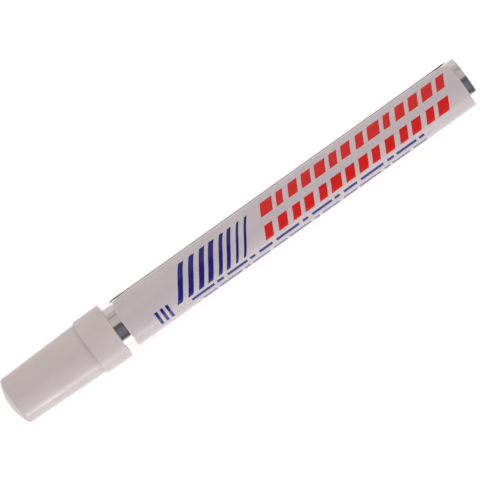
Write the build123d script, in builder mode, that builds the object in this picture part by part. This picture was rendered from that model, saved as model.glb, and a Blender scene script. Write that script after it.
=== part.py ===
from build123d import *
import os
from math import cos, pi, sin, sqrt

# A valve-action paint marker, in millimetres. It lies on its side with its axis along X: the
# closed end of the cap is towards -X and the flat rear end of the barrel towards +X. The origin
# is under the middle of its length, on the surface that the cap's band touches.

# Barrel: one drawn aluminium can with a closed rear end, a rear ring, a shoulder and a neck
barrel_diameter = 12.9
barrel_wall = 0.4
base_thickness = 0.9
heel_radius = 0.4
body_length = 104.2
shoulder_length = 0.6
neck_diameter = 12.1
neck_length = 7.2

# Crimp: a groove rolled into the neck, which locks the nib holder in place
crimp_setback = 3.3
crimp_width = 1.8
crimp_depth = 0.35
crimp_clearance = 0.05

# Label: printed film glued round the barrel, flush with its rear ring and reaching over its shoulder
label_thickness = 0.13
label_glue = 0.05
label_rear_margin = 1.9
label_end_gap = 0.1
label_front_overhang = 0.7

# Nib holder: a skirt inside the neck, a flange on the neck's mouth and a cone round the nib
skirt_length = 7.8
skirt_clearance = 0.05
flange_thickness = 1.2
nose_base_diameter = 9.0
nose_tip_diameter = 6.4
nose_length = 12.8
nose_tip_round = 0.5
seat_ledge_setback = 1.0
chamber_diameter = 6.4
channel_count = 4
channel_diameter = 0.9
channel_length = 6.0

# Holder seal: a rubber ring in a groove of the skirt
seal_setback = 1.3
seal_width = 1.1
seal_groove_depth = 0.8
seal_clearance = 0.03
seal_edge_round = 0.25

# Nib: a bullet of bonded fibre that slides in the holder
nib_diameter = 4.0
nib_clearance = 0.05
nib_reach = 4.5
nib_bullet_length = 2.6
press_travel = 2.0
nib_back_clearance = 0.7
chamber_past_nib = 1.0

# Valve: a soft seat, a stem with a flat head, a spring and a windowed cage
seat_thickness = 1.5
seat_hole_diameter = 3.6
head_diameter = 5.6
head_thickness = 1.2
head_chamfer = 0.3
pin_diameter = 2.4
tail_diameter = 2.4
tail_clearance = 0.05
tail_reach = 1.0
cage_diameter = 8.4
cage_fit = 0.03
cage_wall = 1.0
cage_floor = 1.2
window_count = 4
window_width = 2.4
window_length = 5.0
window_floor_gap = 0.8
spring_room = 10.9
spring_diameter = 4.4
spring_wire = 0.5
spring_turns = 7
spring_end_gap = 0.05

# Mixing ball: a loose steel ball in the paint
ball_diameter = 6.3
ball_gap = 0.2

# Cap: a moulded shell with a wide band at its mouth, a tapered body and a domed end
cap_length = 32.3
cap_seat_depth = 5.5
cap_band_diameter = 15.5
cap_band_length = 7.7
cap_band_draft = 0.1
cap_step_diameter = 14.3
cap_rim_diameter = 13.1
cap_dome_height = 1.7
cap_end_wall = 1.3
cap_clearance = 0.1
band_edge_round = 0.2
step_root_round = 0.25
rim_round = 0.5
mouth_chamfer = 0.3

# Cap liner: a soft inner cap whose brim closes on the holder's flange
liner_brim_thickness = 1.0
liner_wall = 0.8
liner_fit = 0.05
liner_nose_clearance = 0.2
liner_end_gap = 0.3

# Stations along the axis, measured from the rear face towards the cap
label_rear = label_rear_margin
label_front = body_length + label_front_overhang
ring_front = label_rear - label_end_gap
neck_start = body_length + shoulder_length
neck_end = neck_start + neck_length
crimp_middle = neck_end - crimp_setback
seal_middle = neck_end - seal_setback
skirt_rear = neck_end - skirt_length
flange_front = neck_end + flange_thickness
nose_end = flange_front + nose_length
seat_front = neck_end - seat_ledge_setback
seat_rear = seat_front - seat_thickness
head_rear = seat_rear - head_thickness
cage_floor_front = head_rear - spring_room
cage_rear = cage_floor_front - cage_floor
tail_end = cage_rear - tail_reach
nib_rear = seat_front + press_travel + nib_back_clearance
nib_tip = nose_end + nib_reach
chamber_front = nib_rear + chamber_past_nib
cap_mouth = flange_front - cap_seat_depth
cap_step = cap_mouth + cap_band_length
cap_end = cap_mouth + cap_length
cap_rim = cap_end - cap_dome_height
cap_inner_end = cap_rim - cap_end_wall
liner_ledge = flange_front + liner_brim_thickness
liner_end = cap_inner_end - liner_end_gap

# Radii shared by pieces that fit each other
barrel_radius = barrel_diameter / 2
bore_radius = barrel_radius - barrel_wall
label_inner_radius = barrel_radius + label_glue
label_radius = label_inner_radius + label_thickness
ring_radius = label_radius
neck_radius = neck_diameter / 2
neck_bore_radius = neck_radius - barrel_wall
skirt_radius = neck_bore_radius - skirt_clearance
seal_groove_radius = skirt_radius - seal_groove_depth
cage_radius = cage_diameter / 2
cavity_radius = cage_radius + cage_fit
nib_radius = nib_diameter / 2
nib_bore_radius = nib_radius + nib_clearance
cap_mouth_radius = neck_radius + cap_clearance
liner_bore_radius = nose_base_diameter / 2 + liner_nose_clearance
liner_radius = liner_bore_radius + liner_wall
cap_bore_radius = liner_radius + liner_fit
liner_brim_radius = cap_mouth_radius - liner_fit

# The marker's axis, the half plane that turned profiles are drawn in, and sections across it
axis_height = cap_band_diameter / 2
half_length = cap_end / 2
marker_axis = Axis((0, 0, axis_height), (1, 0, 0))
meridian = Plane(origin=(half_length, 0, axis_height), x_dir=(-1, 0, 0), z_dir=(0, 1, 0))


def cross_section(station):
    """The plane across the axis at a station, facing the cap."""
    return Plane(origin=(half_length - station, 0, axis_height), x_dir=(0, 1, 0), z_dir=(-1, 0, 0))


def rim_edge(builder, station, radius):
    """The circular edge of a turned piece at a station and a radius."""
    target = cross_section(station).from_local_coords((0, radius, 0))
    return builder.edges().filter_by(GeomType.CIRCLE).sort_by_distance(target)[0]


# Barrel
with BuildPart() as barrel:
    with BuildSketch(meridian):
        with BuildLine():
            Polyline((0, 0), (0, ring_radius - heel_radius))
            CenterArc((heel_radius, ring_radius - heel_radius), heel_radius, 180, -90)
            Polyline(
                (heel_radius, ring_radius),
                (ring_front, ring_radius),
                (ring_front, barrel_radius),
                (body_length, barrel_radius),
                (neck_start, neck_radius),
                (crimp_middle - crimp_width / 2, neck_radius),
            )
            ThreePointArc(
                (crimp_middle - crimp_width / 2, neck_radius),
                (crimp_middle, neck_radius - crimp_depth),
                (crimp_middle + crimp_width / 2, neck_radius),
            )
            Polyline(
                (crimp_middle + crimp_width / 2, neck_radius),
                (neck_end, neck_radius),
                (neck_end, neck_bore_radius),
                (crimp_middle + crimp_width / 2, neck_bore_radius),
            )
            ThreePointArc(
                (crimp_middle + crimp_width / 2, neck_bore_radius),
                (crimp_middle, neck_bore_radius - crimp_depth),
                (crimp_middle - crimp_width / 2, neck_bore_radius),
            )
            Polyline(
                (crimp_middle - crimp_width / 2, neck_bore_radius),
                (neck_start, neck_bore_radius),
                (body_length, bore_radius),
                (base_thickness, bore_radius),
                (base_thickness, 0),
                (0, 0),
            )
        make_face()
    revolve(axis=marker_axis)

# Label
with BuildPart() as label:
    with BuildSketch(cross_section(label_rear)):
        Circle(label_radius)
        Circle(label_inner_radius, mode=Mode.SUBTRACT)
    extrude(amount=label_front - label_rear)

# Nib holder: its skirt has one groove for the neck's crimp and one for the seal
crimp_groove_half = crimp_width / 2 + crimp_clearance
seal_groove_half = seal_width / 2 + seal_clearance
with BuildPart() as nib_holder:
    with BuildSketch(meridian):
        with BuildLine():
            Polyline(
                (skirt_rear, cavity_radius),
                (skirt_rear, skirt_radius),
                (crimp_middle - crimp_groove_half, skirt_radius),
            )
            ThreePointArc(
                (crimp_middle - crimp_groove_half, skirt_radius),
                (crimp_middle, skirt_radius - crimp_depth - crimp_clearance),
                (crimp_middle + crimp_groove_half, skirt_radius),
            )
            Polyline(
                (crimp_middle + crimp_groove_half, skirt_radius),
                (seal_middle - seal_groove_half, skirt_radius),
                (seal_middle - seal_groove_half, seal_groove_radius),
                (seal_middle + seal_groove_half, seal_groove_radius),
                (seal_middle + seal_groove_half, skirt_radius),
                (neck_end, skirt_radius),
                (neck_end, neck_radius),
                (flange_front, neck_radius),
                (flange_front, nose_base_diameter / 2),
                (nose_end, nose_tip_diameter / 2),
                (nose_end, nib_bore_radius),
                (chamber_front, nib_bore_radius),
                (chamber_front, chamber_diameter / 2),
                (seat_front, chamber_diameter / 2),
                (seat_front, cavity_radius),
                (skirt_rear, cavity_radius),
            )
        make_face()
    revolve(axis=marker_axis)
    fillet(rim_edge(nib_holder, nose_end, nose_tip_diameter / 2), nose_tip_round)
    with BuildSketch(cross_section(chamber_front)):
        with PolarLocations(nib_bore_radius, channel_count):
            Circle(channel_diameter / 2)
    extrude(amount=channel_length, mode=Mode.SUBTRACT)

# Holder seal
with BuildPart() as holder_seal:
    with BuildSketch(cross_section(seal_middle - seal_width / 2)):
        Circle(neck_bore_radius - seal_clearance)
        Circle(seal_groove_radius + seal_clearance, mode=Mode.SUBTRACT)
    extrude(amount=seal_width)
    fillet(holder_seal.edges().filter_by(GeomType.CIRCLE), seal_edge_round)

# Nib
with BuildPart() as nib:
    with BuildSketch(meridian):
        with BuildLine():
            Polyline(
                (nib_tip, 0),
                (nib_rear, 0),
                (nib_rear, nib_radius),
                (nib_tip - nib_bullet_length, nib_radius),
            )
            EllipticalCenterArc(
                (nib_tip - nib_bullet_length, 0), nib_bullet_length, nib_radius, arc_size=90
            )
        make_face()
    revolve(axis=marker_axis)

# Valve seat
with BuildPart() as valve_seat:
    with BuildSketch(cross_section(seat_rear)):
        Circle(cage_radius)
        Circle(seat_hole_diameter / 2, mode=Mode.SUBTRACT)
    extrude(amount=seat_thickness)

# Valve stem: a pin that the nib pushes, a head on the seat and a tail guided in the cage
with BuildPart() as valve_stem:
    with BuildSketch(meridian):
        with BuildLine():
            Polyline(
                (tail_end, 0),
                (tail_end, tail_diameter / 2),
                (head_rear, tail_diameter / 2),
                (head_rear, head_diameter / 2),
                (seat_rear, head_diameter / 2),
                (seat_rear, pin_diameter / 2),
                (nib_rear, pin_diameter / 2),
                (nib_rear, 0),
                (tail_end, 0),
            )
        make_face()
    revolve(axis=marker_axis)
    chamfer(rim_edge(valve_stem, seat_rear, head_diameter / 2), head_chamfer)

# Valve cage: its front rim holds the seat against the ledge, and its windows let the paint in
window_middle = cage_floor_front + window_floor_gap + window_length / 2
with BuildPart() as valve_cage:
    with BuildSketch(meridian):
        with BuildLine():
            Polyline(
                (cage_rear, tail_diameter / 2 + tail_clearance),
                (cage_rear, cage_radius),
                (seat_rear, cage_radius),
                (seat_rear, cage_radius - cage_wall),
                (cage_floor_front, cage_radius - cage_wall),
                (cage_floor_front, tail_diameter / 2 + tail_clearance),
                close=True,
            )
        make_face()
    revolve(axis=marker_axis)
    with Locations(cross_section(window_middle)):
        with PolarLocations(cage_radius, window_count):
            Box(cage_radius, window_width, window_length, mode=Mode.SUBTRACT)

# Valve spring: quarter turns of the helix, each drawn as two arcs that share a tangent
coil_plane = cross_section(cage_floor_front + spring_end_gap + spring_wire / 2)
spring_height = spring_room - 2 * spring_end_gap - spring_wire
spring_pitch = spring_height / spring_turns
coil_radius = spring_diameter / 2
coil_slope = spring_pitch / (2 * pi * coil_radius)
quarter = pi / 2
quarter_rise = spring_pitch / 4


def coil_point(radius, angle, rise):
    """A point of the spring's path, at an angle and a height above its start."""
    return coil_plane.from_local_coords(Vector(radius * cos(angle), radius * sin(angle), rise))


def coil_tangent(angle, slope):
    """The direction of the path at an angle, climbing at a slope."""
    along = coil_plane.y_dir * cos(angle) - coil_plane.x_dir * sin(angle)
    return along + coil_plane.z_dir * slope


half_chord = coil_radius * sin(quarter / 2)
half_rise = quarter_rise / 2
joint_offset = coil_radius * cos(quarter / 2) + half_rise * coil_slope / sin(quarter / 2)
joint_step = sqrt(joint_offset**2 + half_chord**2 + half_rise**2) - joint_offset
joint_radius = coil_radius * cos(quarter / 2) + joint_step
joint_turn = sin(quarter / 2) / joint_step
joint_slope = (joint_turn * half_rise - coil_slope) / (joint_turn * half_chord - cos(quarter / 2))

with BuildPart() as valve_spring:
    with BuildLine() as coil:
        for step in range(4 * spring_turns):
            begin = step * quarter
            middle = begin + quarter / 2
            first = coil_point(coil_radius, begin, step * quarter_rise)
            joint = coil_point(joint_radius, middle, (step + 0.5) * quarter_rise)
            last = coil_point(coil_radius, begin + quarter, (step + 1) * quarter_rise)
            TangentArc(first, joint, tangent=coil_tangent(begin, coil_slope))
            TangentArc(joint, last, tangent=coil_tangent(middle, joint_slope))
    with BuildSketch(Plane(coil.wire() @ 0, z_dir=coil.wire() % 0)):
        Circle(spring_wire / 2)
    sweep(path=coil.wire())

# Mixing ball: it lies on the lower wall, against the base
ball_radius = ball_diameter / 2
ball_station = base_thickness + ball_gap + ball_radius
ball_drop = bore_radius - ball_gap - ball_radius
with BuildPart() as mixing_ball:
    with Locations((half_length - ball_station, 0, axis_height - ball_drop)):
        Sphere(ball_radius)

# Cap shell: the ledge for its liner is inside the band, whose wall limits the mouth's edges
band_radius = cap_band_diameter / 2
band_end_radius = band_radius - cap_band_draft
band_wall = band_radius - cap_mouth_radius
largest_mouth_edge = band_wall / 3
with BuildPart() as cap_shell:
    with BuildSketch(meridian):
        with BuildLine():
            Polyline(
                (cap_end, 0),
                (cap_inner_end, 0),
                (cap_inner_end, cap_bore_radius),
                (liner_ledge, cap_bore_radius),
                (liner_ledge, cap_mouth_radius),
                (cap_mouth, cap_mouth_radius),
                (cap_mouth, band_radius),
                (cap_step, band_end_radius),
                (cap_step, cap_step_diameter / 2),
                (cap_rim, cap_rim_diameter / 2),
            )
            TangentArc((cap_end, 0), (cap_rim, cap_rim_diameter / 2), tangent=(0, 1))
        make_face()
    revolve(axis=marker_axis)
    mouth_edge = rim_edge(cap_shell, cap_mouth, cap_mouth_radius)
    chamfer(mouth_edge, min(mouth_chamfer, largest_mouth_edge))
    fillet(rim_edge(cap_shell, cap_rim, cap_rim_diameter / 2), rim_round)
    fillet(rim_edge(cap_shell, cap_step, cap_step_diameter / 2), step_root_round)
    fillet(rim_edge(cap_shell, cap_step, band_end_radius), band_edge_round)
    mouth_rim = rim_edge(cap_shell, cap_mouth, band_radius)
    fillet(mouth_rim, min(band_edge_round, largest_mouth_edge))

# Cap liner
with BuildPart() as cap_liner:
    with BuildSketch(meridian):
        with BuildLine():
            Polyline(
                (flange_front, liner_bore_radius),
                (flange_front, liner_brim_radius),
                (liner_ledge, liner_brim_radius),
                (liner_ledge, liner_radius),
                (liner_end, liner_radius),
                (liner_end, 0),
                (liner_end - liner_wall, 0),
                (liner_end - liner_wall, liner_bore_radius),
                close=True,
            )
        make_face()
    revolve(axis=marker_axis)

# The least gap between the spring's turns, measured on points along its wire
samples_per_turn = 24
sample_count = samples_per_turn * spring_turns
path = [coil.wire() @ (i / sample_count) for i in range(sample_count + 1)]
half_turn = samples_per_turn // 2
least = min((a - b).length for i, a in enumerate(path) for b in path[i + half_turn :])
print(f"valve_spring: least gap to itself {least - spring_wire:.2f} mm")
print(f"overall length {cap_end:.2f} mm, axis height {axis_height:.2f} mm")

pieces = {
    "barrel": barrel,
    "label": label,
    "nib_holder": nib_holder,
    "holder_seal": holder_seal,
    "nib": nib,
    "valve_seat": valve_seat,
    "valve_stem": valve_stem,
    "valve_cage": valve_cage,
    "valve_spring": valve_spring,
    "mixing_ball": mixing_ball,
    "cap_shell": cap_shell,
    "cap_liner": cap_liner,
}
os.makedirs("parts", exist_ok=True)
for name, piece in pieces.items():
    piece.part.label = name
    export_step(piece.part, f"parts/{name}.step")
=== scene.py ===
from math import cos, exp, pi, radians, sin, sqrt, tan, tau

import bmesh
import bpy
from mathutils import Matrix, Vector


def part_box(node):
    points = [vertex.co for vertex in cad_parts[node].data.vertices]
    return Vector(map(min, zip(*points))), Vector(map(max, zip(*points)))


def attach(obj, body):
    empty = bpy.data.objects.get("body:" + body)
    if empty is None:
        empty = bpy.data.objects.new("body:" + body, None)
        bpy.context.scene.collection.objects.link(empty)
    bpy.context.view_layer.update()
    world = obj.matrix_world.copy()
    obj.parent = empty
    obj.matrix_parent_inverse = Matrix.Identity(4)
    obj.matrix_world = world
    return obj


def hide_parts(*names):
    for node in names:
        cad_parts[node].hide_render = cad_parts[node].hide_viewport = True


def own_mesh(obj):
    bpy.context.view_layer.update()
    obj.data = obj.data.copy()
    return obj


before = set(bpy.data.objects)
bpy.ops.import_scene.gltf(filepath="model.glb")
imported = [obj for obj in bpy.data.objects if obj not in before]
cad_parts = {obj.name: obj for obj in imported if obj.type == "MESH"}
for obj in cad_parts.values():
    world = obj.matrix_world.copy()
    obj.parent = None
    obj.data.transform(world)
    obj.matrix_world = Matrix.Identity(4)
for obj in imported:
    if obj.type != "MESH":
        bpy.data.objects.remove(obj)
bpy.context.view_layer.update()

# The barrel is one drawn aluminium can: a thick rear ring, a straight body, a shoulder and a neck. A
# groove rolled into the neck grips the nib holder. The metal is bare, with fine polishing lines round
# it, and its flat rear end is left duller, with the rings of the turning tool.
mm = 0.001
barrel_low, barrel_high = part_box("barrel")
rear_x = barrel_high.x
axis_z = (barrel_low.z + barrel_high.z) / 2
ring_radius = (barrel_high.z - barrel_low.z) / 2
neck_end = rear_x - barrel_low.x
can_radius = 6.45 * mm
can_wall = 0.4 * mm
base_thickness = 0.9 * mm
heel_round = 0.15 * mm
ring_front = 1.8 * mm
body_end = 104.2 * mm
shoulder_round = 0.25 * mm
neck_start = 104.8 * mm
neck_radius = 6.05 * mm
crimp_middle = 108.7 * mm
crimp_half = 0.9 * mm
crimp_depth = 0.35 * mm
crimp_round = 0.5 * mm
small_round = 0.12 * mm
ring_edge_round = 0.04 * mm
corner_steps = 6
turning_steps = 144
hold_width = 0.06 * mm
weld_distance = 0.0005 * mm
sharp_angle = radians(35)


def hold_ends(edge):
    """Split a long outline edge close to both its ends, so that its shading stays true to it."""
    first, last = edge.verts
    length = edge.calc_length()
    if length > 3 * hold_width:
        _, near = bmesh.utils.edge_split(edge, first, hold_width / length)
        rest = next(joined for joined in near.link_edges if last in joined.verts)
        bmesh.utils.edge_split(rest, last, hold_width / rest.calc_length())


def shade(bm):
    """Shade the faces smooth, with the sharp edges kept."""
    for face in bm.faces:
        face.smooth = True
    for edge in bm.edges:
        edge.smooth = edge.calc_face_angle(0) < sharp_angle


def turned(outline, closed=False):
    """Spin an outline of (station from the rear, radius, corner round) about the marker's axis."""
    bm = bmesh.new()
    points = [bm.verts.new((rear_x - station, 0, axis_z + radius)) for station, radius, _ in outline]
    followers = points[1:] + points[:1] if closed else points[1:]
    for start, end in zip(points, followers):
        bm.edges.new((start, end))
    for point, (_, _, corner) in zip(points, outline):
        if corner:
            bmesh.ops.bevel(
                bm, geom=[point], affect="VERTICES", offset=corner,
                segments=corner_steps, profile=0.5, material=-1,
            )
    for edge in bm.edges[:]:
        hold_ends(edge)
    bmesh.ops.spin(
        bm, geom=bm.verts[:] + bm.edges[:], cent=(0, 0, axis_z), axis=(1, 0, 0),
        dvec=(0, 0, 0), angle=tau, steps=turning_steps, use_merge=True,
    )
    bmesh.ops.remove_doubles(bm, verts=bm.verts[:], dist=weld_distance)
    bmesh.ops.recalc_face_normals(bm, faces=bm.faces[:])
    shade(bm)
    return bm


def piece(name, bm, material):
    """A new object with the finished mesh and its material."""
    mesh = bpy.data.meshes.new(name)
    bm.to_mesh(mesh)
    bm.free()
    made = bpy.data.objects.new(name, mesh)
    made.data.materials.append(material)
    bpy.context.scene.collection.objects.link(made)
    return made


def new_finish(name, colour, roughness, metallic=0.0):
    """A material whose surface shader has its plain values set, and that shader."""
    material = bpy.data.materials.new(name)
    material.use_nodes = True
    surface = material.node_tree.nodes["Principled BSDF"]
    surface.inputs["Base Color"].default_value = (*colour, 1)
    surface.inputs["Roughness"].default_value = roughness
    surface.inputs["Metallic"].default_value = metallic
    return material, surface


def add_node(tree, kind, values=None, **settings):
    """A node with its settings, and its inputs set to a value or joined to another node's output."""
    made = tree.nodes.new(kind)
    for setting, value in settings.items():
        setattr(made, setting, value)
    for socket, value in (values or {}).items():
        if isinstance(value, bpy.types.NodeSocket):
            tree.links.new(value, made.inputs[socket])
        else:
            made.inputs[socket].default_value = value
    return made


def speckle(tree, stretch, detail=3.0):
    """Noise on the piece's own coordinates, with so many waves a metre along each axis."""
    place = add_node(tree, "ShaderNodeTexCoord").outputs["Object"]
    scaled = add_node(tree, "ShaderNodeMapping", {"Vector": place, "Scale": stretch})
    noise = add_node(
        tree, "ShaderNodeTexNoise", {"Vector": scaled.outputs["Vector"], "Scale": 1.0, "Detail": detail}
    )
    return noise.outputs["Fac"]


def spread(tree, value, low, high):
    """Noise in its usual range, spread from a low to a high value."""
    usual_low, usual_high = 0.3, 0.7
    mapped = add_node(
        tree, "ShaderNodeMapRange",
        {"Value": value, "From Min": usual_low, "From Max": usual_high, "To Min": low, "To Max": high},
    )
    return mapped.outputs["Result"]


def blend_colours(tree, share, first, second):
    """A colour between two others, which may be values or outputs."""
    share_socket, first_socket, second_socket, result_socket = 0, 6, 7, 2
    first, second = (
        colour if isinstance(colour, bpy.types.NodeSocket) else (*colour, 1)
        for colour in (first, second)
    )
    mix = add_node(
        tree, "ShaderNodeMix", {share_socket: share, first_socket: first, second_socket: second},
        data_type="RGBA",
    )
    return mix.outputs[result_socket]


def relief(tree, surface, height, depth):
    """Raise and sink the surface by a pattern, to a depth in metres."""
    bump = add_node(tree, "ShaderNodeBump", {"Height": height, "Distance": depth, "Strength": 1.0})
    tree.links.new(bump.outputs["Normal"], surface.inputs["Normal"])


def drawn_metal(name, colour, dull_colour, roughness, lines, depth):
    """Bare metal with fine lines and soft dull patches, and its surface shader."""
    material, surface = new_finish(name, colour, roughness, metallic=1.0)
    tree = material.node_tree
    fine = speckle(tree, lines)
    patches = speckle(tree, (160, 160, 160))
    tint = blend_colours(tree, patches, colour, dull_colour)
    uneven = spread(tree, fine, roughness * 0.75, roughness * 1.3)
    tree.links.new(tint, surface.inputs["Base Color"])
    tree.links.new(uneven, surface.inputs["Roughness"])
    relief(tree, surface, fine, depth)
    return material, surface


can_outline = [
    (0, 0, 0),
    (0, ring_radius, heel_round),
    (ring_front, ring_radius, ring_edge_round),
    (ring_front, can_radius, 0),
    (body_end, can_radius, shoulder_round),
    (neck_start, neck_radius, shoulder_round),
    (crimp_middle - crimp_half, neck_radius, crimp_round / 2),
    (crimp_middle, neck_radius - crimp_depth, crimp_round),
    (crimp_middle + crimp_half, neck_radius, crimp_round / 2),
    (neck_end, neck_radius, small_round),
    (neck_end, neck_radius - can_wall, small_round),
    (crimp_middle + crimp_half, neck_radius - can_wall, 0),
    (crimp_middle, neck_radius - can_wall - crimp_depth, crimp_round),
    (crimp_middle - crimp_half, neck_radius - can_wall, 0),
    (neck_start, neck_radius - can_wall, 0),
    (body_end, can_radius - can_wall, 0),
    (base_thickness, can_radius - can_wall, small_round),
    (base_thickness, 0, 0),
]
can = turned(can_outline)
flat_end = can.faces.layers.float.new("flat_end")
least_facing = 0.99
for face in can.faces:
    face[flat_end] = float(face.normal.x > least_facing)
bare_aluminium, can_surface = drawn_metal(
    "bare_aluminium", (0.77, 0.745, 0.74), (0.68, 0.655, 0.65), 0.15, (4200, 60, 60), 0.0008 * mm
)
can_tree = bare_aluminium.node_tree
end_bright = (0.62, 0.6, 0.595)
end_dull = (0.44, 0.425, 0.42)
end_roughness = 0.3
tool_feed = 0.22 * mm
waves_a_unit = 20 / tau
can_place = add_node(can_tree, "ShaderNodeTexCoord").outputs["Object"]
on_axis = add_node(can_tree, "ShaderNodeMapping", {"Vector": can_place, "Location": (0, 0, -axis_z)})
tool_rings = add_node(
    can_tree, "ShaderNodeTexWave",
    {"Vector": on_axis.outputs["Vector"], "Scale": 1 / (waves_a_unit * tool_feed),
     "Distortion": 6.0, "Detail": 3.0, "Detail Scale": 0.4},
    wave_type="RINGS", rings_direction="X",
).outputs["Fac"]
end_tint = blend_colours(can_tree, tool_rings, end_bright, end_dull)
on_end = add_node(can_tree, "ShaderNodeAttribute", attribute_name="flat_end").outputs["Fac"]
wall_tint = can_surface.inputs["Base Color"].links[0].from_socket
wall_roughness = can_surface.inputs["Roughness"].links[0].from_socket
both_tints = blend_colours(can_tree, on_end, wall_tint, end_tint)
both_roughnesses = add_node(
    can_tree, "ShaderNodeMix", {"Factor": on_end, "A": wall_roughness, "B": end_roughness}
)
can_tree.links.new(both_tints, can_surface.inputs["Base Color"])
can_tree.links.new(both_roughnesses.outputs["Result"], can_surface.inputs["Roughness"])
barrel = piece("barrel_can", can, bare_aluminium)
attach(barrel, "barrel")
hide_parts("barrel")

# The mixing ball is a loose polished steel ball that stirs the paint when the marker is shaken.
# It lies on the lower wall of the can, and has the fine haze of a tumbled bearing ball.
tumbled_steel, _ = drawn_metal(
    "tumbled_steel", (0.66, 0.66, 0.68), (0.52, 0.52, 0.55), 0.14, (900, 900, 900), 0.002 * mm
)


def dress(node, material):
    """Give a piece whose solid is shown as it is its material."""
    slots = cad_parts[node].data.materials
    slots.clear()
    slots.append(material)


dress("mixing_ball", tumbled_steel)

# The valve cage is a windowed cup of natural polypropylene pushed into the holder's skirt. It
# holds the seat against its ledge, carries the spring on its floor and guides the stem's tail.


def moulded_plastic(name, colour, shade_colour, roughness, grain_depth):
    """Moulded plastic: a fine satin grain, slightly uneven colour and handling sheen."""
    material, surface = new_finish(name, colour, roughness)
    tree = material.node_tree
    clouds = speckle(tree, (110, 190, 190), detail=4.0)
    grain = speckle(tree, (3200, 3200, 3200), detail=2.0)
    tint = blend_colours(tree, spread(tree, clouds, 0, 1), colour, shade_colour)
    sheen = spread(tree, clouds, roughness * 0.88, roughness * 1.12)
    tree.links.new(tint, surface.inputs["Base Color"])
    tree.links.new(sheen, surface.inputs["Roughness"])
    relief(tree, surface, grain, grain_depth)
    return material


natural_plastic = moulded_plastic(
    "natural_plastic", (0.74, 0.73, 0.69), (0.68, 0.67, 0.63), 0.42, 0.004 * mm
)
dress("valve_cage", natural_plastic)

# The valve spring is a coil of drawn stainless wire between the cage's floor and the stem's head.
# It shuts the valve, pushes the nib out again, and is squeezed when the nib is pressed.
spring_low, spring_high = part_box("valve_spring")
wire_radius = 0.25 * mm
coil_radius = (spring_high.z - spring_low.z) / 2 - wire_radius
coil_turns = 7
steps_a_turn = 48
wire_sides = 12
coil = bmesh.new()
ring = bmesh.ops.create_circle(coil, cap_ends=False, segments=wire_sides, radius=wire_radius)
bmesh.ops.rotate(coil, verts=ring["verts"], matrix=Matrix.Rotation(pi / 2, 3, "X"))
bmesh.ops.translate(
    coil, verts=ring["verts"], vec=(spring_high.x - wire_radius, 0, axis_z + coil_radius)
)
coil_steps = coil_turns * steps_a_turn
coil_step = (spring_high.x - spring_low.x - 2 * wire_radius) / coil_steps
bmesh.ops.spin(
    coil, geom=coil.verts[:] + coil.edges[:], cent=(0, 0, axis_z), axis=(1, 0, 0),
    dvec=(-coil_step, 0, 0), angle=-coil_turns * tau, steps=coil_steps, use_merge=False,
)
bmesh.ops.holes_fill(coil, edges=coil.edges[:], sides=wire_sides)
bmesh.ops.recalc_face_normals(coil, faces=coil.faces[:])
shade(coil)
drawn_wire, _ = drawn_metal(
    "drawn_wire", (0.60, 0.60, 0.61), (0.50, 0.49, 0.49), 0.26, (600, 3000, 3000), 0.002 * mm
)
spring = piece("valve_spring_coil", coil, drawn_wire)
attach(spring, "barrel")
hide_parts("valve_spring")
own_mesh(spring)

# The valve stem is turned from one moulding of glossy acetal: the front pin that the nib pushes,
# the flat head that closes on the seat, and the tail that the cage guides.
glossy_acetal = moulded_plastic(
    "glossy_acetal", (0.76, 0.76, 0.73), (0.71, 0.71, 0.68), 0.24, 0.002 * mm
)
dress("valve_stem", glossy_acetal)

# The valve seat is a flat washer of black rubber, and the holder's seal is a ring of the same
# rubber in the skirt's groove. Both are matt, with a dusting of moulding talc.
matt_rubber, rubber_surface = new_finish("matt_rubber", (0.03, 0.03, 0.032), 0.75)
rubber_tree = matt_rubber.node_tree
talc = speckle(rubber_tree, (700, 700, 700), detail=5.0)
dusted = blend_colours(
    rubber_tree, spread(rubber_tree, talc, 0, 0.5), (0.022, 0.022, 0.024), (0.12, 0.12, 0.12)
)
rubber_tree.links.new(dusted, rubber_surface.inputs["Base Color"])
rubber_tree.links.new(spread(rubber_tree, talc, 0.6, 0.9), rubber_surface.inputs["Roughness"])
relief(rubber_tree, rubber_surface, talc, 0.01 * mm)
dress("valve_seat", matt_rubber)
dress("holder_seal", matt_rubber)

# The nib holder is one moulding of white polypropylene: a skirt crimped into the neck, a flange on
# the neck's mouth and a long nose that tapers to the bore in which the nib slides.
holder_low, holder_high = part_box("nib_holder")
skirt_rear = rear_x - holder_high.x
nose_end = rear_x - holder_low.x
flange_thickness = 1.2 * mm
flange_front = neck_end + flange_thickness
flange_round = 0.25 * mm
skirt_clearance = 0.05 * mm
skirt_radius = neck_radius - can_wall - skirt_clearance
cavity_radius = 4.23 * mm
seat_setback = 1.0 * mm
seat_front = neck_end - seat_setback
chamber_length = 3.7 * mm
chamber_front = seat_front + chamber_length
chamber_radius = 3.2 * mm
nose_base_radius = 4.5 * mm
nose_tip_radius = 3.2 * mm
nose_tip_round = 0.45 * mm
collar_length = 1.4 * mm
collar_front = flange_front + collar_length
collar_bevel = 0.3 * mm
collar_step = 0.2 * mm
collar_root_round = 0.3 * mm
collar_edge_round = 0.15 * mm
nib_bore_radius = 2.05 * mm
seal_setback = 1.3 * mm
seal_middle = neck_end - seal_setback
seal_groove_half = 0.58 * mm
seal_groove_depth = 0.8 * mm
seal_groove_radius = skirt_radius - seal_groove_depth
crimp_clearance = 0.05 * mm
crimp_groove_half = crimp_half + crimp_clearance
crimp_groove_radius = skirt_radius - crimp_depth - crimp_clearance
nose_taper = (nose_base_radius - nose_tip_radius) / (nose_end - flange_front)
cone_radius = nose_base_radius - nose_taper * collar_length - collar_step
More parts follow.
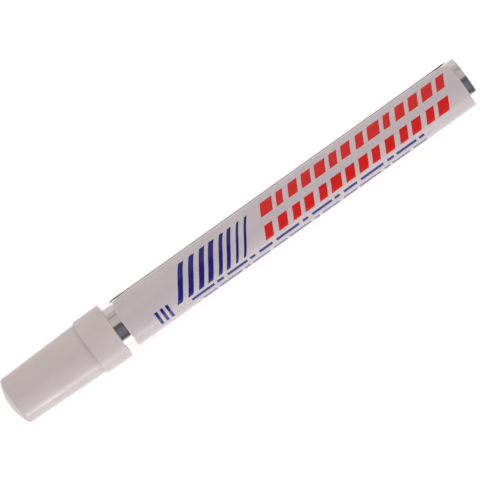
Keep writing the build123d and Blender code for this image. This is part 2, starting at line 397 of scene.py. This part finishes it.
holder_outline = [
    (skirt_rear, cavity_radius, 0),
    (skirt_rear, skirt_radius, small_round),
    (crimp_middle - crimp_groove_half, skirt_radius, 0),
    (crimp_middle, crimp_groove_radius, crimp_round),
    (crimp_middle + crimp_groove_half, skirt_radius, 0),
    (seal_middle - seal_groove_half, skirt_radius, 0),
    (seal_middle - seal_groove_half, seal_groove_radius, 0),
    (seal_middle + seal_groove_half, seal_groove_radius, 0),
    (seal_middle + seal_groove_half, skirt_radius, 0),
    (neck_end, skirt_radius, 0),
    (neck_end, neck_radius, small_round),
    (flange_front, neck_radius, flange_round),
    (flange_front, nose_base_radius, collar_root_round),
    (collar_front, nose_base_radius, collar_edge_round),
    (collar_front + collar_bevel, cone_radius, collar_edge_round),
    (nose_end, nose_tip_radius, nose_tip_round),
    (nose_end, nib_bore_radius, small_round),
    (chamber_front, nib_bore_radius, 0),
    (chamber_front, chamber_radius, 0),
    (seat_front, chamber_radius, 0),
    (seat_front, cavity_radius, 0),
]
white_plastic = moulded_plastic(
    "white_plastic", (0.70, 0.68, 0.66), (0.65, 0.63, 0.61), 0.38, 0.004 * mm
)
nose = piece("nib_nose", turned(holder_outline, closed=True), white_plastic)
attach(nose, "barrel")
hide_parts("nib_holder")

# The nib is a rod of bonded polyester fibre, ground to a bullet. Its fibres run lengthwise, and the
# tip is stained by white paint.
nib_low, nib_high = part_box("nib")
nib_rear = rear_x - nib_high.x
nib_tip = rear_x - nib_low.x
nib_radius = (nib_high.z - nib_low.z) / 2
bullet_length = 2.6 * mm
bullet_steps = 14
bullet = [
    (
        nib_tip - bullet_length * (1 - sin(pi / 2 * step / bullet_steps)),
        nib_radius * cos(pi / 2 * step / bullet_steps),
        0,
    )
    for step in range(bullet_steps)
]
nib_outline = [(nib_rear, 0, 0), (nib_rear, nib_radius, small_round), *bullet, (nib_tip, 0, 0)]
fibre, fibre_surface = new_finish("bonded_fibre", (0.72, 0.70, 0.66), 0.85)
fibre_tree = fibre.node_tree
strands = speckle(fibre_tree, (260, 5200, 5200), detail=4.0)
fibre_tint = blend_colours(
    fibre_tree, spread(fibre_tree, strands, 0, 1), (0.76, 0.74, 0.70), (0.52, 0.50, 0.46)
)
fibre_tree.links.new(fibre_tint, fibre_surface.inputs["Base Color"])
fibre_surface.inputs["Sheen Weight"].default_value = 0.3
relief(fibre_tree, fibre_surface, strands, 0.03 * mm)
nib = piece("fibre_nib", turned(nib_outline), fibre)
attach(nib, "nib")
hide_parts("nib")

# The label is white plastic film, die cut with round corners, printed and rolled round the can.
# Its two long edges meet on the far side, where the last one has lifted and curls at its ends.
label_low, label_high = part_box("label")
film_thickness = 0.11 * mm
glue_thickness = 0.04 * mm
film_radius = can_radius + glue_thickness
first_edge = radians(-79)
last_edge = radians(274)
first_corner = 5.2 * mm
last_corner = 1.8 * mm
film_corner_steps = 8
roll_step = radians(3)
end_zone = 12 * mm
end_cuts = 12
middle_cuts = 10
curl_width = 0.6 * mm
curl_reach = 3.0 * mm
curl_along = 0.05 * mm
curl_front = 0.2 * mm
curl_rear = 0.22 * mm


def bisect(bm, point, normal):
    """Cut every face along a plane."""
    everything = bm.verts[:] + bm.edges[:] + bm.faces[:]
    bmesh.ops.bisect_plane(bm, geom=everything, dist=weld_distance, plane_co=point, plane_no=normal)


def curl_at(x):
    """How far the last edge stands off the can at a place along it."""
    front = exp(-(x - label_low.x) / curl_reach)
    rear = exp(-(label_high.x - x) / curl_reach)
    return curl_along + (curl_front - curl_along) * front + (curl_rear - curl_along) * rear


film_start = film_radius * first_edge
film_end = film_radius * last_edge
film_length = label_high.x - label_low.x
film = bmesh.new()
bmesh.ops.create_grid(film, x_segments=1, y_segments=1, size=0.5)
bmesh.ops.scale(film, verts=film.verts[:], vec=(film_length, film_end - film_start, 1))
film_middle = ((label_low.x + label_high.x) / 2, (film_start + film_end) / 2, 0)
bmesh.ops.translate(film, verts=film.verts[:], vec=film_middle)
for corner in film.verts[:]:
    round_off = first_corner if corner.co.y < film_middle[1] else last_corner
    bmesh.ops.bevel(
        film, geom=[corner], affect="VERTICES", offset=round_off,
        segments=film_corner_steps, profile=0.5, material=-1,
    )
for step in range(1, int((last_edge - first_edge) / roll_step) + 1):
    bisect(film, (0, film_start + step * roll_step * film_radius, 0), (0, 1, 0))
for step in range(1, end_cuts + 1):
    bisect(film, (label_low.x + step * end_zone / end_cuts, 0, 0), (1, 0, 0))
    bisect(film, (label_high.x - step * end_zone / end_cuts, 0, 0), (1, 0, 0))
middle_zone = film_length - 2 * end_zone
for step in range(1, middle_cuts):
    bisect(film, (label_low.x + end_zone + middle_zone * step / middle_cuts, 0, 0), (1, 0, 0))
flat_map = film.loops.layers.uv.new("flat_film")
for face in film.faces:
    for loop in face.loops:
        loop[flat_map].uv = (loop.vert.co.x, loop.vert.co.y)
for vert in film.verts:
    x, along, _ = vert.co
    share = max(0, 1 - (film_end - along) / curl_width)
    radius = film_radius + curl_at(x) * share**2
    angle = along / film_radius
    vert.co = (x, -radius * sin(angle), axis_z + radius * cos(angle))
film.normal_update()
bmesh.ops.solidify(film, geom=film.faces[:], thickness=film_thickness)
bmesh.ops.recalc_face_normals(film, faces=film.faces[:])
glue_side = film.faces.layers.float.new("glue_side")
cut_edge = film.faces.layers.float.new("cut_edge")
most_sideways = 0.5
for face in film.faces:
    middle = face.calc_center_median()
    outward = face.normal.dot(Vector((0, middle.y, middle.z - axis_z)).normalized())
    face[glue_side] = float(outward < -most_sideways)
    face[cut_edge] = float(abs(outward) <= most_sideways)
shade(film)


def ink(red, green, blue):
    """A colour mixed on the 0 to 255 scale of a screen, as the shader wants it."""
    shares = (value / 255 for value in (red, green, blue))
    return tuple(
        share / 12.92 if share < 0.04045 else ((share + 0.055) / 1.055) ** 2.4 for share in shares
    )


def stops(tree, value, spans, low, high):
    """White inside each of some spans of a value, and black elsewhere."""
    share = add_node(
        tree, "ShaderNodeMapRange", {"Value": value, "From Min": low, "From Max": high}
    ).outputs["Result"]
    ramp = add_node(tree, "ShaderNodeValToRGB", {"Fac": share})
    ramp.color_ramp.interpolation = "CONSTANT"
    ramp.color_ramp.elements.remove(ramp.color_ramp.elements[1])
    ramp.color_ramp.elements[0].color = (0, 0, 0, 1)
    for start, end in spans:
        for edge, shade_value in ((start, 1), (end, 0)):
            stop = ramp.color_ramp.elements.new((edge - low) / (high - low))
            stop.color = (shade_value, shade_value, shade_value, 1)
    return ramp.outputs["Color"]


def maths(tree, operation, *values):
    """The result of a sum on values or outputs."""
    made = add_node(tree, "ShaderNodeMath", dict(enumerate(values)), operation=operation)
    return made.outputs["Value"]


def dashes(start, lengths, gap, count):
    """The spans of a row of dashes whose lengths take turns."""
    spans = []
    for number in range(count):
        length = lengths[number % len(lengths)]
        spans.append((start, start + length))
        start += length + gap
    return spans


film_white = ink(204, 195, 196)
film_shade = ink(197, 189, 192)
# The glue side is white film, painted lighter than the printed side: painted light in the shadowed gap
# under the curled edge.
glue_white_and_painted_light = ink(240, 238, 236)
# The cut edge is painted dark grey: painted shade for the shadow line along the lifted edge.
cut_edge_painted_shade = ink(70, 66, 66)
blue_ink = ink(22, 28, 118)
red_ink = ink(214, 26, 20)
# Each row of print: its ink, the degrees it covers, the degrees it leans and its spans along X in mm.
print_rows = [
    (blue_ink, -41, 38, 34, dashes(-18.6, (1.9, 1.8, 1.6, 1.5, 1.3, 1.2, 1.0, 0.9), 1.4, 8)),
    (red_ink, -47, -15, 26, dashes(9.0, (3.3, 2.2, 2.9, 2.5), 1.35, 14)),
    (red_ink, 3, 34, 26, dashes(6.6, (2.4, 3.1, 2.6, 2.8), 1.35, 14)),
    (blue_ink, 45, 52, 0, dashes(-18.0, (7.0, 2.0, 6.0, 1.6, 4.2), 1.0, 14)),
    (blue_ink, 67, 76, 0, dashes(-15.0, (4.0, 6.5, 1.6, 5.2), 1.0, 13)),
    (blue_ink, 20, 58, 0, dashes(-27.6, (0.8,), 0.9, 3)),
]
printed_film, film_surface = new_finish("printed_film", film_white, 0.24)
film_tree = printed_film.node_tree
flat_place = add_node(film_tree, "ShaderNodeUVMap", uv_map="flat_film").outputs["UV"]
flat = add_node(film_tree, "ShaderNodeSeparateXYZ", {"Vector": flat_place}).outputs
haze = speckle(film_tree, (70, 160, 160), detail=5.0)
film_colour = blend_colours(film_tree, spread(film_tree, haze, 0, 1), film_white, film_shade)
for row_ink, from_angle, to_angle, lean, row_spans in print_rows:
    top, bottom = film_radius * radians(from_angle), film_radius * radians(to_angle)
    across = stops(film_tree, flat["Y"], [(top, bottom)], film_start, film_end)
    slope = tan(radians(lean))
    leaning = maths(film_tree, "MULTIPLY_ADD", flat["Y"], slope, flat["X"])
    shift = slope * (top + bottom) / 2
    lengthwise = [(start * mm + shift, end * mm + shift) for start, end in row_spans]
    along = stops(film_tree, leaning, lengthwise, label_low.x, label_high.x)
    inked = maths(film_tree, "MULTIPLY", across, along)
    film_colour = blend_colours(film_tree, inked, film_colour, row_ink)
# Here the glue side gets its painted light and the cut edge its painted shade.
for side, side_colour in (("glue_side", glue_white_and_painted_light), ("cut_edge", cut_edge_painted_shade)):
    share = add_node(film_tree, "ShaderNodeAttribute", attribute_name=side).outputs["Fac"]
    film_colour = blend_colours(film_tree, share, film_colour, side_colour)
film_tree.links.new(film_colour, film_surface.inputs["Base Color"])
film_tree.links.new(spread(film_tree, haze, 0.2, 0.28), film_surface.inputs["Roughness"])
relief(film_tree, film_surface, speckle(film_tree, (900, 900, 900)), 0.003 * mm)
label = piece("label_film", film, printed_film)
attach(label, "barrel")
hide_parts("label")

# The cap's liner is a soft inner cap of natural polyethylene pressed into the shell. Its brim
# closes on the holder's flange, and its tube keeps the nib from drying.
soft_plastic = moulded_plastic(
    "soft_plastic", (0.72, 0.72, 0.70), (0.66, 0.66, 0.64), 0.5, 0.006 * mm
)
dress("cap_liner", soft_plastic)

# The cap's shell is moulded in satin white plastic: a wide band at its mouth, a tapered body and a
# domed end with the gate mark in its middle. It grips the neck and pulls off forwards.
cap_low, cap_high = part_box("cap_shell")
cap_mouth = rear_x - cap_high.x
cap_end = rear_x - cap_low.x
band_radius = (cap_high.z - cap_low.z) / 2
band_length = 7.7 * mm
band_end = cap_mouth + band_length
band_draft = 0.1 * mm
band_edge_round = 0.2 * mm
step_radius = 7.15 * mm
step_root_round = 0.29 * mm
rim_radius = 6.55 * mm
rim_round = 0.45 * mm
dome_height = 1.7 * mm
rim_station = cap_end - dome_height
dome_radius = (rim_radius**2 + dome_height**2) / (2 * dome_height)
dome_steps = 10
gate_radius = 0.95 * mm
gate_depth = 0.16 * mm
gate_draft = 0.1 * mm
gate_round = 0.06 * mm
nub_radius = 0.4 * mm
nub_draft = 0.05 * mm
nub_root_round = 0.04 * mm
mouth_radius = 6.15 * mm
mouth_round = 0.3 * mm
mouth_depth = 6.5 * mm
liner_ledge = cap_mouth + mouth_depth
shell_bore_radius = 5.55 * mm
shell_bore_round = 0.4 * mm
end_wall = 1.3 * mm
shell_inner_end = rim_station - end_wall


def dome_station(radius):
    """The station of the domed end at a distance from the axis."""
    return cap_end - dome_radius + sqrt(dome_radius**2 - radius**2)


dome = [
    (dome_station(radius), radius, 0)
    for radius in (
        rim_radius + (gate_radius - rim_radius) * step / dome_steps for step in range(1, dome_steps)
    )
]
gate_floor = cap_end - gate_depth
nub_top = gate_floor + gate_depth / 2
cap_outline = [
    (shell_inner_end, 0, 0),
    (shell_inner_end, shell_bore_radius, shell_bore_round),
    (liner_ledge, shell_bore_radius, 0),
    (liner_ledge, mouth_radius, small_round),
    (cap_mouth, mouth_radius, mouth_round),
    (cap_mouth, band_radius, band_edge_round),
    (band_end, band_radius - band_draft, band_edge_round),
    (band_end, step_radius, step_root_round),
    (rim_station, rim_radius, rim_round),
    *dome,
    (dome_station(gate_radius), gate_radius, gate_round),
    (gate_floor, gate_radius - gate_draft, gate_round),
    (gate_floor, nub_radius + nub_draft, nub_root_round),
    (nub_top, nub_radius, gate_round),
    (nub_top, 0, 0),
]
satin_plastic = moulded_plastic(
    "satin_plastic", ink(209, 199, 198), ink(202, 192, 191), 0.32, 0.003 * mm
)
cap = piece("cap_moulding", turned(cap_outline), satin_plastic)
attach(cap, "cap")
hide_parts("cap_shell")

# The marker lies on a plain pale floor. The floor shows white to the eye and still takes the marker's
# shadow. In the bare metal its glow is a painted reflection: brighter than white on its near half, and
# dimmed on its far half as painted shade.
floor_half = 2.0
floor_mesh = bmesh.new()
bmesh.ops.create_grid(floor_mesh, x_segments=1, y_segments=1, size=floor_half)
pale_floor = bpy.data.materials.new("pale_floor")
pale_floor.use_nodes = True
floor_tree = pale_floor.node_tree
floor_tree.nodes.clear()
floor_white = (0.86, 0.86, 0.86)
floor_lift = 0.46
near_half_painted_reflection = 1.4
far_half_painted_reflection = 0.12
painted_reflection_from = 9 * mm
painted_reflection_to = 18 * mm
looked_at = add_node(floor_tree, "ShaderNodeLightPath").outputs
floor_place = add_node(floor_tree, "ShaderNodeTexCoord").outputs["Object"]
floor_parts = add_node(floor_tree, "ShaderNodeSeparateXYZ", {"Vector": floor_place}).outputs
# Painted reflection: the floor's glow seen in gloss is strong on the near half and fades on the far
# half.
half_share = add_node(
    floor_tree, "ShaderNodeMapRange",
    {"Value": floor_parts["Y"], "From Min": painted_reflection_from, "From Max": painted_reflection_to,
     "To Min": near_half_painted_reflection, "To Max": far_half_painted_reflection},
)
painted_reflection_in_metal = maths(floor_tree, "MULTIPLY", looked_at["Is Glossy Ray"], half_share.outputs["Result"])
by_eye = maths(floor_tree, "ADD", looked_at["Is Camera Ray"], looked_at["Is Transmission Ray"])
lift = maths(floor_tree, "MULTIPLY", maths(floor_tree, "ADD", painted_reflection_in_metal, by_eye), floor_lift)
diffuse = add_node(floor_tree, "ShaderNodeBsdfDiffuse", {"Color": (*floor_white, 1)})
glow = add_node(floor_tree, "ShaderNodeEmission", {"Strength": lift})
both = add_node(
    floor_tree, "ShaderNodeAddShader", {0: diffuse.outputs["BSDF"], 1: glow.outputs["Emission"]}
)
add_node(floor_tree, "ShaderNodeOutputMaterial", {"Surface": both.outputs["Shader"]})
floor = piece("floor", floor_mesh, pale_floor)

# The light is a soft white room: bright past both ends and low on the near side, dimmer on the far
# side, overhead and low past the cap. In gloss both ends show at a plain level. A low strip lamp
# beside the cap draws the line of light along it.
room = bpy.data.worlds.new("room")
room.use_nodes = True
bpy.context.scene.world = room
room_tree = room.node_tree
room_tree.nodes.clear()
room_near_side = (1.2, 1.18, 1.22)
room_near_low = (2.4, 2.35, 2.4)
room_far_side = (0.63, 0.59, 0.58)
room_far_shelf = (0.42, 0.38, 0.37)
room_rear_end = (1.95, 1.9, 1.9)
room_cap_end = (1.75, 1.7, 1.7)
room_cap_low = (0.25, 0.24, 0.24)
room_end_in_gloss = (0.75, 0.73, 0.73)
room_overhead = (0.2, 0.19, 0.235)
room_overhead_rim = (0.105, 0.1, 0.105)
overhead_lean = radians(25)
# Where each part of the room starts and is full, as shares of the direction looked in.
far_turn = (-0.3, 0.2)
near_low_turn = (0.35, 0.12)
shelf_top_turn = (0.5, 0.58)
shelf_foot_turn = (0.42, 0.34)
overhead_turn = (0.71, 0.8)
overhead_core_turn = (0.88, 0.99)
rear_end_turn = (0.4, 0.7)
cap_end_turn = (-0.4, -0.7)
cap_low_turn = (0.4, 0.25)
facing = add_node(room_tree, "ShaderNodeTexCoord").outputs["Generated"]
facing_parts = add_node(room_tree, "ShaderNodeSeparateXYZ", {"Vector": facing}).outputs


def room_blend(value, turn, first, second):
    """One colour of the room going softly over into another as a value goes through its turn."""
    start, full = turn
    share = add_node(
        room_tree, "ShaderNodeMapRange", {"Value": value, "From Min": start, "From Max": full},
        interpolation_type="SMOOTHSTEP",
    )
    return blend_colours(room_tree, share.outputs["Result"], first, second)


upward = add_node(
    room_tree, "ShaderNodeVectorMath", {0: facing, 1: (0, -sin(overhead_lean), cos(overhead_lean))},
    operation="DOT_PRODUCT",
).outputs["Value"]
far_wall = room_blend(facing_parts["Z"], shelf_top_turn, room_far_shelf, room_far_side)
far_wall = room_blend(facing_parts["Z"], shelf_foot_turn, far_wall, room_far_side)
near_wall = room_blend(facing_parts["Z"], near_low_turn, room_near_side, room_near_low)
walls = room_blend(facing_parts["Y"], far_turn, near_wall, far_wall)
overhead = room_blend(upward, overhead_core_turn, room_overhead_rim, room_overhead)
room_colour = room_blend(upward, overhead_turn, walls, overhead)
cap_end_wall = room_blend(facing_parts["Z"], cap_low_turn, room_cap_end, room_cap_low)
in_gloss = add_node(room_tree, "ShaderNodeLightPath").outputs["Is Glossy Ray"]
for end_turn, end_colour in ((rear_end_turn, room_rear_end), (cap_end_turn, cap_end_wall)):
    room_end = blend_colours(room_tree, in_gloss, end_colour, room_end_in_gloss)
    room_colour = room_blend(facing_parts["X"], end_turn, room_colour, room_end)
backdrop = add_node(room_tree, "ShaderNodeBackground", {"Color": room_colour, "Strength": 1.0})
add_node(room_tree, "ShaderNodeOutputWorld", {"Surface": backdrop.outputs["Background"]})

strip_length = 60 * mm
strip_height = 20 * mm
strip_power = 0.11
strip_place = (-0.1, -0.35, 0.012)
strip_data = bpy.data.lights.new("strip_lamp", "AREA")
strip_data.shape = "RECTANGLE"
strip_data.size = strip_length
strip_data.size_y = strip_height
strip_data.energy = strip_power
strip_lamp = bpy.data.objects.new("strip_lamp", strip_data)
strip_lamp.location = strip_place
strip_lamp.rotation_euler = (pi / 2, 0, 0)
bpy.context.scene.collection.objects.link(strip_lamp)

# The camera looks straight down from a metre, turned so that the marker crosses the picture from its
# lower left to its upper right.
camera_distance = 1.0
picture_width = 119.7 * mm
picture_turn = radians(-35.5)
picture_middle = (0.7 * mm, 0.2 * mm)
sensor_width = 36.0
camera_data = bpy.data.cameras.new("camera")
camera_data.sensor_width = sensor_width
camera_data.lens = sensor_width * camera_distance / picture_width
camera = bpy.data.objects.new("camera", camera_data)
camera.location = (*picture_middle, axis_z + camera_distance)
camera.rotation_euler = (0, 0, picture_turn)
bpy.context.scene.collection.objects.link(camera)
bpy.context.scene.camera = camera
bpy.context.scene.view_settings.view_transform = "Standard"
